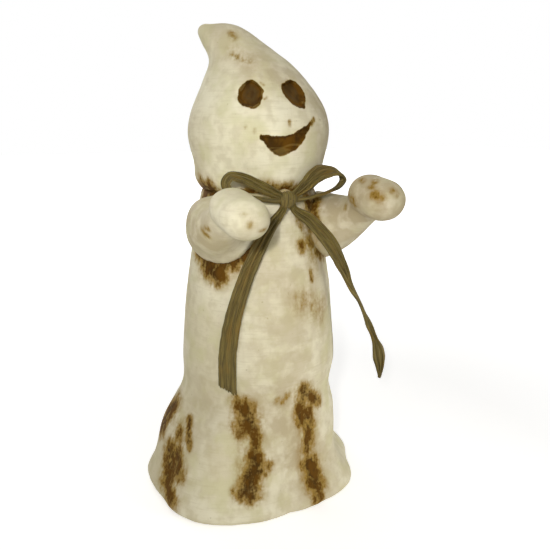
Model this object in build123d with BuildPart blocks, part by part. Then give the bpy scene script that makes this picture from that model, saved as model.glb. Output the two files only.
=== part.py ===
from build123d import *
from math import cos, hypot, pi, radians, sin
import os

os.makedirs("parts", exist_ok=True)

# Ceramic ghost figure with a raffia bow, in millimetres
# +Z is up, the face looks along -Y and the figure's own left is +X

# Skirt: oval rings from the foot up to the round waist
foot_inset = 2.4  # how far the foot rolls in under the hem
hem_height = 4.0  # widest ring
hem_half_width = 67.5
hem_half_depth = 60.5
hem_shift = -3.0  # towards the figure's right
flare_height = 16.0
flare_half_width = 60.0
flare_half_depth = 54.0
flare_shift = -5.5
skirt_height = 33.0
skirt_half_width = 55.0
skirt_half_depth = 50.5
skirt_shift = -5.2
knee_height = 51.0
knee_half_width = 48.3
knee_half_depth = 46.4
knee_shift = -2.0
waist_height = 72.0
waist_radius = 45.2
waist_shift = 0.7

# Flutes of the skirt, which die out at the waist
fold_count = 8
fold_depth = 2.8
fold_angle = -75.0  # direction of one groove, in degrees from +X
foot_fold = 0.7  # share of the depth that a groove has at the foot

# Upper body, round from the waist to the neck joint
neck_height = 175.0
neck_radius = 31.6
shoulder_power = 1.75  # how late the body draws in towards the neck
body_wall = 5.5

# Head: a round face, then a curl that leans to its right and back
jaw_height = 12.0  # above the neck joint
jaw_radius = 35.8
cheek_height = 28.0
cheek_radius = 38.9
brow_height = 41.0
brow_radius = 37.0
curl_height = 43.0  # from the brow up to the end of the curl
curl_lean = 29.8
curl_tilt = 39.5  # degrees
curl_tip_radius = 3.8
ball_set = 2.1  # how far back in the curl its end ball sits
ball_cover = 1.02  # the ball is this much fatter than the end that it rounds off
curl_direction = 154.0  # degrees from +X
head_wall = 6.5

# Face, pressed into the head as recesses
recess_depth = 3.2
eye_width = 12.8
eye_length = 14.6
eye_height = 49.5  # above the neck joint, as the mouth's
eye_tilt = 24.0  # the eyes look up by this much, square to the surface
right_eye_turn = 30.0  # degrees from the front to the figure's right
left_eye_turn = -9.0
mouth_width = 33.0
mouth_drop = 11.5  # sag of the lower lip
mouth_opening = 7.5  # between the lips at the middle
mouth_height = 33.0
mouth_tilt = 11.0

# Raised arms with drooping mitten hands
arm_drop = 23.0  # from the neck joint down to the centre of the root
root_radius = 18.4
elbow_spread = 37.5  # from the middle
elbow_reach = 38.0  # in front of the axis
elbow_lift = 9.0  # above the root
elbow_radius = 12.3
hand_spread = 37.8
hand_reach = 62.0
right_hand_lift = 19.5
left_hand_lift = 22.0
wrist_radius = 8.8
hand_radius = 10.4
hand_length = 31.0
hand_droop = 9.0  # degrees

# Raffia bow glued on the front of the neck
raffia_thickness = 0.8
raffia_play = 0.5  # between the knot and the strips that leave it
knot_width = 8.0
knot_length = 9.0
knot_depth = 6.0
knot_drop = 1.0  # below the neck joint
glue_thickness = 3.5
glue_radius = 3.2
loop_reach = 35.5
loop_height = 11.0
loop_width = 8.0
tail_width = 9.4
tail_root_width = 3.6
tail_standoff = 2.6  # the right tail lies this far off the chest
right_tail_share = 0.95  # of the height from the waist to the neck
right_tail_angle = -95.0  # where it leaves the knot, in degrees from +X
right_tail_turn = 44.0  # degrees round the body
left_tail_share = 0.97
left_tail_swing = 54.0  # how far to the side the left tail hangs
left_tail_forward = 13.0

# Rings of the skirt as height, half width, half depth and shift
skirt_rings = [
    (0.0, hem_half_width - foot_inset, hem_half_depth - foot_inset, hem_shift),
    (hem_height, hem_half_width, hem_half_depth, hem_shift),
    (flare_height, flare_half_width, flare_half_depth, flare_shift),
    (skirt_height, skirt_half_width, skirt_half_depth, skirt_shift),
    (knee_height, knee_half_width, knee_half_depth, knee_shift),
]


def groove_depth(height):
    # flutes are shallow at the foot, deepest above the hem and gone at the waist
    grown = min(1.0, foot_fold + (1 - foot_fold) * height / flare_height)
    return fold_depth * grown * cos(height / waist_height * pi / 2)


def fluted_ring(height, half_width, half_depth, shift):
    # closed ring with narrow grooves between broad folds
    depth = groove_depth(height)
    points = []
    count = fold_count * 6
    for step in range(count):
        angle = 2 * pi * step / count
        groove = (0.5 + 0.5 * cos(fold_count * (angle - radians(fold_angle)))) ** 2
        out = shift + (half_width - depth * groove) * cos(angle)
        back = (half_depth - depth * groove) * sin(angle)
        points.append((out, back))
    return points


upper_height = neck_height - waist_height


def body_radius(height):
    # the upper body draws in slowly above the waist and faster towards the neck
    share = (height - waist_height) / upper_height
    return waist_radius + (neck_radius - waist_radius) * max(0.0, share) ** shoulder_power


# Heights of the upper body's rings
upper_rings = [waist_height + upper_height * share for share in (0.0, 0.2, 0.4, 0.6, 0.8, 1.0)]

# Solid outer form of the body, which also seats the arms and the bow
with BuildPart() as body_form:
    for height, half_width, half_depth, shift in skirt_rings:
        with BuildSketch(Plane.XY.offset(height)):
            with BuildLine():
                Spline(*fluted_ring(height, half_width, half_depth, shift), periodic=True)
            make_face()
    for height in upper_rings:
        with BuildSketch(Plane.XY.offset(height)):
            with Locations((waist_shift, 0)):
                Circle(body_radius(height))
    loft()

# Hollow body, open at the foot and at the neck
with BuildPart() as body_shell:
    add(body_form.part)
    for height, half_width, half_depth, shift in skirt_rings[::2]:
        wall = body_wall + groove_depth(height)
        with BuildSketch(Plane.XY.offset(height)):
            with Locations((shift, 0)):
                Ellipse(half_width - wall, half_depth - wall)
    for height in upper_rings:
        with BuildSketch(Plane.XY.offset(height)):
            with Locations((waist_shift, 0)):
                Circle(body_radius(height) - body_wall)
    loft(mode=Mode.SUBTRACT)


def curl_plane(share):
    # plane across the curl at a share of the way from the brow to the tip
    toward = Vector(cos(radians(curl_direction)), sin(radians(curl_direction)), 0)
    up = Vector(0, 0, 1)
    tilt = radians(curl_tilt * share**2)
    centre = Vector(waist_shift, 0, neck_height + brow_height)
    centre += toward * (curl_lean * share**1.8) + up * (curl_height * (1 - (1 - share) ** 1.5))
    return Plane(origin=centre, x_dir=up.cross(toward), z_dir=toward * sin(tilt) + up * cos(tilt))


# The curl's rings: share of the way to the tip, share of the brow's radius that is left
curl_rings = [
    (0.0, 1.0),
    (0.2, 0.805),
    (0.38, 0.596),
    (0.55, 0.389),
    (0.71, 0.272),
    (0.86, 0.162),
    (1.0, 0.0),
]


def head_circles(inset, rings):
    # the round face, then the curl, all drawn in by the inset
    sketches = []
    for height, radius in ((0, neck_radius), (jaw_height, jaw_radius), (cheek_height, cheek_radius)):
        level = curl_plane(0).offset(height - brow_height)
        with BuildSketch(level) as ring:
            Circle(radius - inset)
        sketches.append(ring.sketch)
    for share, left in rings:
        with BuildSketch(curl_plane(share)) as ring:
            Circle(curl_tip_radius + (brow_radius - curl_tip_radius) * left - inset)
        sketches.append(ring.sketch)
    return sketches


# Solid outer form of the head, with a ball that rounds off the curl
with BuildPart() as head_form:
    loft(head_circles(0, curl_rings))
    with Locations(curl_plane(1.0).offset(-ball_set).origin):
        Sphere(ball_cover * hypot(curl_tip_radius, ball_set))

# The head drawn in by the depth of the recesses
with BuildPart() as recess_floor:
    loft(head_circles(recess_depth, curl_rings[:4]))


def face_plane(turn, height, tilt):
    # plane on the face, its Z looking out
    angle = radians(-90 - turn)
    out = Vector(cos(angle), sin(angle), 0)
    centre = out * brow_radius + Vector(waist_shift, 0, neck_height + height)
    look = out * cos(radians(tilt)) + Vector(0, 0, sin(radians(tilt)))
    return Plane(origin=centre, x_dir=Vector(-sin(angle), cos(angle), 0), z_dir=look)


lip_sag = mouth_opening - mouth_drop

# Eyes and smile, down to the recess floor
with BuildPart() as face_cutter:
    for turn in (right_eye_turn, left_eye_turn):
        with BuildSketch(face_plane(turn, eye_height, eye_tilt)):
            Ellipse(eye_width / 2, eye_length / 2)
    with BuildSketch(face_plane(0, mouth_height, 0)):
        with BuildLine(Plane.XY.rotated((0, 0, mouth_tilt))):
            ThreePointArc((-mouth_width / 2, 0), (0, -mouth_drop), (mouth_width / 2, 0))
            ThreePointArc((mouth_width / 2, 0), (0, lip_sag), (-mouth_width / 2, 0))
        make_face()
    extrude(amount=0.5 * brow_radius, both=True)
    add(recess_floor.part, mode=Mode.SUBTRACT)

# Hollow head with its face
with BuildPart() as head_shell:
    add(head_form.part)
    add(face_cutter.part, mode=Mode.SUBTRACT)
    loft(head_circles(head_wall, curl_rings[:4]), mode=Mode.SUBTRACT)


arm_height = neck_height - arm_drop
root_spread = 0.55 * body_radius(arm_height)
root_reach = 0.22 * body_radius(arm_height)


def arm_planes(side, hand_lift):
    # planes across the arm at its root, elbow and wrist
    root = Vector(side * root_spread, -root_reach, arm_height)
    elbow = Vector(side * elbow_spread, -elbow_reach, arm_height + elbow_lift)
    hand = Vector(side * hand_spread, -hand_reach, arm_height + hand_lift)
    steady = (elbow - root).cross(hand - elbow).normalized()
    with BuildLine():
        curve = Spline(root, elbow, hand)
    planes = []
    for share in (0.0, 0.3, 0.56, 0.96):
        planes.append(Plane(origin=curve.position_at(share), x_dir=steady, z_dir=curve.tangent_at(share)))
    droop = radians(hand_droop)
    return planes, Plane(origin=hand, x_dir=(side, 0, 0), z_dir=(0, -cos(droop), -sin(droop)))


def arm_circles(planes):
    sketches = []
    for plane, radius in zip(planes, (root_radius, root_radius, elbow_radius, wrist_radius)):
        with BuildSketch(plane) as ring:
            Circle(radius)
        sketches.append(ring.sketch)
    return sketches


def mitten_profile(plane):
    # half outline of the hand, a stretched ball
    half = hand_length / 2
    with BuildSketch(Plane(origin=plane.origin, x_dir=plane.x_dir, z_dir=-plane.y_dir)) as profile:
        with BuildLine():
            CenterArc((0, half - hand_radius), hand_radius, 0, 90)
            Line((hand_radius, half - hand_radius), (hand_radius, hand_radius - half))
            CenterArc((0, hand_radius - half), hand_radius, -90, 90)
            Line((0, -half), (0, half))
        make_face()
    return profile.sketch


with BuildPart() as right_arm:
    planes, hand_plane = arm_planes(-1, right_hand_lift)
    loft(arm_circles(planes))
    revolve(mitten_profile(hand_plane), axis=Axis(hand_plane.origin, hand_plane.z_dir))
    add(body_form.part, mode=Mode.SUBTRACT)

with BuildPart() as left_arm:
    planes, hand_plane = arm_planes(1, left_hand_lift)
    loft(arm_circles(planes))
    revolve(mitten_profile(hand_plane), axis=Axis(hand_plane.origin, hand_plane.z_dir))
    add(body_form.part, mode=Mode.SUBTRACT)

# Knot of the bow, a flat band wrapped round in front of the neck
knot_y = -(neck_radius + glue_thickness + knot_depth / 2)
knot_z = neck_height - knot_drop

with BuildPart() as bow_knot:
    with BuildSketch(Plane.YZ.offset(-knot_width / 2)):
        with Locations((knot_y, knot_z)):
            RectangleRounded(knot_depth, knot_length, 0.45 * knot_depth)
    extrude(amount=knot_width)

# Glue between the knot and the neck crease
with BuildPart() as glue_dab:
    with BuildSketch(Plane.XZ.offset(-(knot_y + knot_depth / 2))):
        with Locations((0, knot_z)):
            Circle(glue_radius)
    extrude(amount=-2 * glue_thickness)
    add(body_form.part, mode=Mode.SUBTRACT)
    add(head_form.part, mode=Mode.SUBTRACT)


def blended(values, shares, share):
    # value at a share of the way along a strip
    for index in range(len(shares) - 1):
        if share <= shares[index + 1] or index == len(shares) - 2:
            part = (share - shares[index]) / (shares[index + 1] - shares[index])
            return values[index] + (values[index + 1] - values[index]) * part


def strip_sections(points, ends, facings, widths, count):
    # even cross sections of a raffia strip; each facing is the way its broad side looks
    with BuildLine():
        curve = Spline(*points, tangents=ends)
    shares = [curve.param_at_point(point) for point in points]
    looks = [Vector(*facing) for facing in facings]
    sketches = []
    for step in range(count + 1):
        share = step / count
        along = curve.tangent_at(share)
        across = blended(looks, shares, share).cross(along).normalized()
        level = Plane(origin=curve.position_at(share), x_dir=across, z_dir=along)
        with BuildSketch(level) as cross_section:
            Rectangle(blended(widths, shares, share), raffia_thickness)
        sketches.append(cross_section.sketch)
    return sketches


def loop_sections(side):
    # out along the upper strand, round the end and back under it, as shares of reach and height
    start = (knot_width / 2 + raffia_play) / loop_reach
    shape = [
        (start, 0.16, 0.0),
        (0.26, 0.55, 0.0),
        (0.5, 0.98, 0.04),
        (0.76, 1.06, 0.08),
        (0.96, 0.76, 0.1),
        (0.95, 0.36, 0.1),
        (0.74, 0.12, 0.06),
        (0.45, -0.06, 0.02),
        (start, -0.2, 0.0),
    ]
    points = []
    for out, up, back in shape:
        points.append((side * out * loop_reach, knot_y + back * loop_reach, knot_z + up * loop_height))
    facings = [
        (0, -1, 0),
        (0, -1, 0.15),
        (side * 0.1, -0.8, 0.6),
        (side * 0.5, -0.4, 0.8),
        (side, -0.1, 0.3),
        (side * 0.7, -0.1, -0.7),
        (0, -0.2, -1),
        (0, -0.2, -1),
        (0, -0.2, -1),
    ]
    widths = [loop_width * share for share in (0.6, 0.9, 1, 1, 1, 1, 1, 0.8, 0.5)]
    return strip_sections(points, [(side, 0, 0), (-side, 0, 0)], facings, widths, 22)


with BuildPart() as right_loop:
    loft(loop_sections(-1), ruled=True)

with BuildPart() as left_loop:
    loft(loop_sections(1), ruled=True)

tail_start = knot_z - knot_length / 2 - raffia_play
tail_root = knot_width / 2 - tail_root_width / 2
right_tail_drop = right_tail_share * upper_height
left_tail_drop = left_tail_share * upper_height

# Tail that lies down the figure's right chest
with BuildPart() as right_tail:
    points = [(-tail_root, knot_y, tail_start)]
    facings = [(0, -1, 0)]
    widths = [tail_root_width]
    for share in (0.12, 0.28, 0.45, 0.62, 0.8, 1.0):
        height = tail_start - share * right_tail_drop
        angle = radians(right_tail_angle - right_tail_turn * (1 - (1 - share) ** 2))
        reach = body_radius(height) + tail_standoff
        points.append((waist_shift + reach * cos(angle), reach * sin(angle), height))
        facings.append((cos(angle), sin(angle), 0))
        widths.append(tail_width * min(1.0, 0.7 + share))
    loft(strip_sections(points, [(0, 0, -1), (-0.1, 0, -1)], facings, widths, 16), ruled=True)

# Tail that hangs free on the figure's left, as shares of its drop and swing
with BuildPart() as left_tail:
    points = [(tail_root, knot_y, tail_start)]
    facings = [(0, -1, 0)]
    widths = [tail_root_width]
    for share, out, turn in (
        (0.09, 0.2, -85),
        (0.2, 0.38, -75),
        (0.36, 0.57, -55),
        (0.54, 0.76, -10),
        (0.68, 0.88, -60),
        (0.84, 0.99, -40),
        (1.0, 1.0, -60),
    ):
        forward = left_tail_forward * share
        points.append((out * left_tail_swing, knot_y - forward, tail_start - share * left_tail_drop))
        facings.append((cos(radians(turn)), sin(radians(turn)), 0))
        widths.append(tail_width * min(1.0, 0.7 + share))
    loft(strip_sections(points, [(0, 0, -1), (-0.1, 0, -1)], facings, widths, 20), ruled=True)

pieces = {
    "body_shell": body_shell,
    "head_shell": head_shell,
    "right_arm": right_arm,
    "left_arm": left_arm,
    "glue_dab": glue_dab,
    "bow_knot": bow_knot,
    "right_loop": right_loop,
    "left_loop": left_loop,
    "right_tail": right_tail,
    "left_tail": left_tail,
}
for label, piece in pieces.items():
    piece.part.label = label
    export_step(piece.part, f"parts/{label}.step")
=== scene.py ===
import math

import bpy
import numpy as np
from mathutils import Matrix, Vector, noise
from mathutils.bvhtree import BVHTree


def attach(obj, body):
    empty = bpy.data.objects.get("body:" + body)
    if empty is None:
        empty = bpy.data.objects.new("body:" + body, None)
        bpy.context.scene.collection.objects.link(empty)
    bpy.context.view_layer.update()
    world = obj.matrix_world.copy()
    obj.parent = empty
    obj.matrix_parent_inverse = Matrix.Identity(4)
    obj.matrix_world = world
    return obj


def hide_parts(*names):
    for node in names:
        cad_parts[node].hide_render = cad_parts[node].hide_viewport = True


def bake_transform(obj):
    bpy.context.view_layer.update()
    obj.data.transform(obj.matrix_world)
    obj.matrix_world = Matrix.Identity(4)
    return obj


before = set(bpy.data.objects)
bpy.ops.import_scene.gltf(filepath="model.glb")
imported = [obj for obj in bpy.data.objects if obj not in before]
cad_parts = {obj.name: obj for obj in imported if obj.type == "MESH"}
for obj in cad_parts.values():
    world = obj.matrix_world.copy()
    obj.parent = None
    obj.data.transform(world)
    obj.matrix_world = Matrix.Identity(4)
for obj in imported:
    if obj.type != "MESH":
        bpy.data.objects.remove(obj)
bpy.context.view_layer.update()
scene = bpy.context.scene
mm = 0.001  # every size below is in millimetres


# Small helpers

def hexColour(text):
    channels = [int(text[at:at + 2], 16) / 255 for at in (1, 3, 5)]
    linear = [c / 12.92 if c <= 0.04045 else ((c + 0.055) / 1.055) ** 2.4 for c in channels]
    return (*linear, 1.0)


def only(obj):
    bpy.ops.object.select_all(action="DESELECT")
    bpy.context.view_layer.objects.active = obj
    obj.select_set(True)


def applyModifiers(obj):
    only(obj)
    for modifier in list(obj.modifiers):
        bpy.ops.object.modifier_apply(modifier=modifier.name)


def addNode(tree, kind, inputs=None, out=0, **settings):
    # inputs by name or place, each a value or another node's output; gives one output
    node = tree.nodes.new(kind)
    for name, value in settings.items():
        setattr(node, name, value)
    for name, value in (inputs or {}).items():
        if isinstance(value, bpy.types.NodeSocket):
            tree.links.new(value, node.inputs[name])
        else:
            node.inputs[name].default_value = value
    return node.outputs[out]


def newMaterial(name):
    material = bpy.data.materials.new(name)
    material.use_nodes = True
    tree = material.node_tree
    return material, tree, tree.nodes["Principled BSDF"]


# Camera

cameraView = {
    "place": (-142.4, -305.4, 210.0),
    "turn": -25.0,  # degrees about Z
    "pitch": 14.4,  # degrees below level
    "focal": 590.0,  # in pixels of the photograph
    "middle": 257.0,  # pixel column on the lens axis
    "pixels": 550.0,
    "sensor": 36.0,
}

lens = bpy.data.cameras.new("photoLens")
lens.sensor_fit = "HORIZONTAL"
lens.sensor_width = cameraView["sensor"]
lens.lens = cameraView["sensor"] * cameraView["focal"] / cameraView["pixels"]
lens.shift_x = (cameraView["pixels"] / 2 - cameraView["middle"]) / cameraView["pixels"]
lens.clip_start = 0.01
lens.clip_end = 20.0
photoCamera = bpy.data.objects.new("photoCamera", lens)
scene.collection.objects.link(photoCamera)
photoCamera.location = Vector(cameraView["place"]) * mm
tilt = math.radians(90 - cameraView["pitch"])
photoCamera.rotation_euler = (tilt, 0, math.radians(cameraView["turn"]))
scene.camera = photoCamera
print("camera set")


# Materials

bisque = {
    "light": "#e3dcc0",
    "dark": "#d6cdae",
    "brushed": "#c5ba95",
    "dirt": "#8f7a50",
    # grey-brown coat: grime, and painted shade where the figure turns from the light
    "grimeAndShade": "#b2a281",
    "tint": "#cdc898",
    "amber": "#8e6c14",
    "brown": "#5a3a06",
    "umber": "#3c2605",
    # floor of the eyes; laid on more along their low ring, it is also a painted highlight
    "eyeFloorAndHighlight": "#5c4b2c",
    "hollow": "#d9d3c4",
    "roughness": 0.62,
    "gloss": 0.06,
    "bump": 0.34,
    "spread": 1.62,  # how far a wash stroke bleeds past its own radius
    # patterns: size, stretch, detail; bristle lines and grit are coarser than real ones, to show
    "grains": {
        "cloud": (26, (1, 1, 1), 3),
        "brush": (2.6, (1, 1, 0.12), 5),
        "fine": (0.8, (1, 1, 1), 3),
        "blot": (4.2, (1, 1, 0.6), 6),
        "hair": (1.3, (1, 1, 0.16), 4),
        "lying": (1.1, (0.1, 0.1, 1), 4),
        "mottle": (7, (1, 1, 1), 7),
        "tinge": (13, (1, 1, 1), 4),
        "patchy": (9, (1, 1, 1), 6),
        "speck": (2.2, (1, 1, 1), 2),
        "spatter": (1.6, (1, 1, 1), 4),
    },
    # coats over the light paint: pattern, where it starts and is full, least, most, colour
    "coats": [
        ("cloud", 0.35, 0.68, 0.0, 1.0, "dark"),
        ("brush", 0.5, 0.8, 0.0, 0.28, "brushed"),
        ("mottle", 0.45, 0.66, 0.0, 0.55, "brushed"),
        ("tinge", 0.46, 0.66, 0.0, 0.5, "tint"),
        ("lying", 0.5, 0.72, 0.0, 0.34, "brushed"),
        # the grey-brown coat of grime and painted shade
        ("patchy", 0.34, 0.64, 0.45, 1.45, "grimeAndShade"),
        ("speck", 0.7, 0.78, 0.0, 0.35, "dirt"),
    ],
    # most of the grime and painted shade coat
    "grimeAndShadeMost": 1.2,
    "fray": {"blot": 2.2, "hair": 0.8, "spatter": 1.0},  # breaks the edge of the wash
    "frayInAmber": 0.6,
    "washGain": 1.3,
    "amberStage": (0.02, 0.76, 0.88),  # wash level where it starts and is full, strength
    "brownStage": (0.6, 1.2, 0.96),
    "relief": {"brush": 0.6, "fine": 0.5, "lying": 0.7},
}

clayMarks = ("wash", "grimeAndShade", "eyeFloorAndHighlight", "carved", "hollow")  # attributes on the ceramic pieces


def makeBisque():
    # matte cream paint on fired clay, brushed, with a brown wash rubbed into creases and a
    # grey-brown coat that is grime and also painted shade
    material, tree, shader = newMaterial("paintedBisque")
    space = addNode(tree, "ShaderNodeTexCoord", out="Object")
    # marks: wash, grime with painted shade, eye floor with a painted highlight, carved, bare inner
    # wall
    wash, grimeAndShade, eyeFloorAndHighlight, carved, hollow = (
        addNode(tree, "ShaderNodeAttribute", out="Fac", attribute_name=mark) for mark in clayMarks)
    grains = {}
    for name, (size, stretch, detail) in bisque["grains"].items():
        place = addNode(tree, "ShaderNodeMapping", {"Vector": space, "Scale": stretch})
        grains[name] = addNode(tree, "ShaderNodeTexNoise", {
            "Vector": place, "Scale": 1 / (size * mm), "Detail": detail}, "Fac")
    colour = hexColour(bisque["light"])
    for name, start, full, least, most, paint in bisque["coats"]:
        share = addNode(tree, "ShaderNodeMapRange", {
            "Value": grains[name], "From Min": start, "From Max": full,
            "To Min": least, "To Max": most}, interpolation_type="SMOOTHSTEP")
        if paint == "grimeAndShade":  # only where the grime and painted shade are laid on
            share = addNode(tree, "ShaderNodeMath", {
                0: share, 1: bisque["grimeAndShadeMost"]}, operation="MINIMUM")
            share = addNode(tree, "ShaderNodeMath", {0: grimeAndShade, 1: share}, operation="MULTIPLY")
        colour = addNode(tree, "ShaderNodeMix", {
            0: share, 6: colour, 7: hexColour(bisque[paint])}, 2, data_type="RGBA")
    # noise frays the wash, but not in the carved face
    fray = -sum(bisque["fray"].values()) / 2
    for name, weight in bisque["fray"].items():
        fray = addNode(tree, "ShaderNodeMath", {
            0: grains[name], 1: weight, 2: fray}, operation="MULTIPLY_ADD")
    wet = addNode(tree, "ShaderNodeMapRange", {
        "Value": wash, "From Min": 0.02, "From Max": 0.4}, interpolation_type="SMOOTHSTEP")
    plain = addNode(tree, "ShaderNodeMath", {0: 1.0, 1: carved}, operation="SUBTRACT")
    wet = addNode(tree, "ShaderNodeMath", {0: wet, 1: plain}, operation="MULTIPLY")
    fray = addNode(tree, "ShaderNodeMath", {0: fray, 1: wet}, operation="MULTIPLY")
    level = addNode(tree, "ShaderNodeMath", {
        0: wash, 1: bisque["washGain"]}, operation="MULTIPLY")
    stages = []
    for stage, weight in (("amberStage", bisque["frayInAmber"]), ("brownStage", 1.0)):
        start, full, most = bisque[stage]
        broken = addNode(tree, "ShaderNodeMath", {
            0: fray, 1: weight, 2: level}, operation="MULTIPLY_ADD")
        stages.append(addNode(tree, "ShaderNodeMapRange", {
            "Value": broken, "From Min": start, "From Max": full, "To Max": most},
            interpolation_type="SMOOTHSTEP"))
    pools = addNode(tree, "ShaderNodeMapRange", {
        "Value": grains["blot"], "From Min": 0.38, "From Max": 0.62},
        interpolation_type="SMOOTHSTEP")
    umber = hexColour(bisque["umber"])
    deep = addNode(tree, "ShaderNodeMix", {
        0: pools, 6: umber, 7: hexColour(bisque["brown"])}, 2, data_type="RGBA")
    eyeFloor = addNode(tree, "ShaderNodeMix", {
        0: grains["blot"], 6: umber, 7: hexColour(bisque["eyeFloorAndHighlight"])}, 2, data_type="RGBA")
    bare = addNode(tree, "ShaderNodeMath", {0: hollow, 1: 0.5}, operation="MULTIPLY")
    for share, paint in ((stages[0], hexColour(bisque["amber"])), (stages[1], deep),
                         (eyeFloorAndHighlight, eyeFloor), (bare, hexColour(bisque["hollow"]))):
        colour = addNode(tree, "ShaderNodeMix", {
            0: share, 6: colour, 7: paint}, 2, data_type="RGBA")
    tree.links.new(colour, shader.inputs["Base Color"])
    dull = addNode(tree, "ShaderNodeMath", {
        0: grains["fine"], 1: 0.16, 2: bisque["roughness"] - 0.08}, operation="MULTIPLY_ADD")
    tree.links.new(dull, shader.inputs["Roughness"])
    shader.inputs["Specular IOR Level"].default_value = bisque["gloss"]
    relief = 0.0
    for name, weight in bisque["relief"].items():
        relief = addNode(tree, "ShaderNodeMath", {
            0: grains[name], 1: weight, 2: relief}, operation="MULTIPLY_ADD")
    bump = addNode(tree, "ShaderNodeBump", {
        "Strength": bisque["bump"], "Distance": 0.5 * mm, "Height": relief})
    tree.links.new(bump, shader.inputs["Normal"])
    return material


raffia = {
    "shadow": "#383018",
    "middle": "#6c5d2e",
    "bright": "#918045",
    "golden": "#7d5f22",
    "roughness": 0.58,
    "gloss": 0.22,
    "bump": 0.7,
    "width": 10.5,  # opened flat
    "fullest": 0.97,  # share of that width that shows at most
    "thickness": 0.25,
    "step": 0.7,  # between rows along a strip
    "columns": 36,
    "pleats": 3,
    "wanderSize": 22.0,  # how soon the pleats drift sideways
    "crumple": 0.22,
    "crumpleSize": 7.0,
    "edge": 0.05,  # share of the width by which the edges stray
    "edgeSize": 4.0,
    # patterns: size across and along the strip, detail
    "grains": {"fibre": (1 / 1.7, 20, 5), "thread": (0.2, 25 / 3, 3), "tone": (4, 50 / 3, 2)},
    # coats over the shadow: pattern, where it starts and is full, strength, colour
    "coats": [
        ("fibre", 0.3, 0.62, 1.0, "middle"),
        ("thread", 0.5, 0.72, 0.65, "bright"),
        ("tone", 0.52, 0.7, 0.4, "golden"),
    ],
}


def makeRaffia():
    # dull olive paper raffia with lengthwise fibres; UV is across and along the strip in mm
    material, tree, shader = newMaterial("paperRaffia")
    strip = addNode(tree, "ShaderNodeUVMap", uv_map="strip")
    grains = {}
    for name, (across, along, detail) in raffia["grains"].items():
        place = addNode(tree, "ShaderNodeMapping", {
            "Vector": strip, "Scale": (1 / across, 1 / along, 1)})
        grains[name] = addNode(tree, "ShaderNodeTexNoise", {
            "Vector": place, "Scale": 1.0, "Detail": detail}, "Fac")
    colour = hexColour(raffia["shadow"])
    for name, start, full, most, paint in raffia["coats"]:
        share = addNode(tree, "ShaderNodeMapRange", {
            "Value": grains[name], "From Min": start, "From Max": full, "To Max": most},
            interpolation_type="SMOOTHSTEP")
        colour = addNode(tree, "ShaderNodeMix", {
            0: share, 6: colour, 7: hexColour(raffia[paint])}, 2, data_type="RGBA")
    tree.links.new(colour, shader.inputs["Base Color"])
    dull = addNode(tree, "ShaderNodeMath", {
        0: grains["thread"], 1: 0.2, 2: raffia["roughness"] - 0.1}, operation="MULTIPLY_ADD")
    tree.links.new(dull, shader.inputs["Roughness"])
    shader.inputs["Specular IOR Level"].default_value = raffia["gloss"]
    relief = addNode(tree, "ShaderNodeMath", {
        0: grains["thread"], 1: 0.5, 2: grains["fibre"]}, operation="MULTIPLY_ADD")
    bump = addNode(tree, "ShaderNodeBump", {
        "Strength": raffia["bump"], "Distance": 0.25 * mm, "Height": relief})
    tree.links.new(bump, shader.inputs["Normal"])
    return material


glueDab = {
    "node": "glue_dab",
    "clear": "#d8c79c",
    "cloudy": "#b79f68",
    "cloud": 3.0,
    "roughness": 0.35,
}


def makeGlue():
    # set hot glue, cloudy amber, half glossy
    material, tree, shader = newMaterial("setGlue")
    space = addNode(tree, "ShaderNodeTexCoord", out="Object")
    cloud = addNode(tree, "ShaderNodeTexNoise", {
        "Vector": space, "Scale": 1 / (glueDab["cloud"] * mm), "Detail": 3.0}, "Fac")
    clear, cloudy = hexColour(glueDab["clear"]), hexColour(glueDab["cloudy"])
    colour = addNode(tree, "ShaderNodeMix", {
        0: cloud, 6: clear, 7: cloudy}, 2, data_type="RGBA")
    tree.links.new(colour, shader.inputs["Base Color"])
    shader.inputs["Roughness"].default_value = glueDab["roughness"]
    bump = addNode(tree, "ShaderNodeBump", {
        "Strength": 0.3, "Distance": 0.3 * mm, "Height": cloud})
    tree.links.new(bump, shader.inputs["Normal"])
    return material


bisqueMaterial = makeBisque()
raffiaMaterial = makeRaffia()
glueMaterial = makeGlue()
print("materials made")


# Ceramic pieces: the cast solids with the softness and unevenness of hand-finished clay

def nodeTree(node):
    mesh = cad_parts[node].data
    return BVHTree.FromPolygons([v.co for v in mesh.vertices], [p.vertices for p in mesh.polygons])


def strokeWash(points, strokes, spread):
    wash = np.zeros(len(points))
    for start, end, radius, strength in strokes:
        first = np.array(start, float)
        run = np.array(end, float) - first
        share = np.clip((points - first) @ run / max(run @ run, 1e-6), 0, 1)
        gap = np.linalg.norm(points - first - share[:, None] * run, axis=1)
        wash = np.maximum(wash, strength * np.exp(-(gap / radius / spread) ** 2))
    return wash


def creaseWash(points, piece):
    # wash pooled where another piece is near, in patches
    wash = np.zeros(len(points))
    reach = piece["creaseReach"]
    patchSize, patchLeast, patchMost = 14, 0.25, 1.3
    for node in piece["creaseWith"]:
        near = nodeTree(node)
        for index, point in enumerate(points):
            hit = near.find_nearest(Vector(point) * mm, 2.5 * reach * mm)
            if hit[0] is not None:
                depth = math.exp(-(hit[3] / mm / reach) ** 2)
                patch = 0.55 + 0.9 * noise.noise(Vector(point) / patchSize)
                patch = max(patchLeast, min(patchMost, patch))
                wash[index] = max(wash[index], piece["creaseWash"] * depth * patch)
    return wash


def ease(value, low, high):
    share = np.clip((value - low) / (high - low), 0, 1)
    return share * share * (3 - 2 * share)


def meshPoints(mesh):
    flat = np.empty(len(mesh.vertices) * 3)
    mesh.vertices.foreach_get("co", flat)
    return flat.reshape(-1, 3) / mm


def movePoints(mesh, points):
    mesh.vertices.foreach_set("co", (points * mm).reshape(-1))
    mesh.update()


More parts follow.
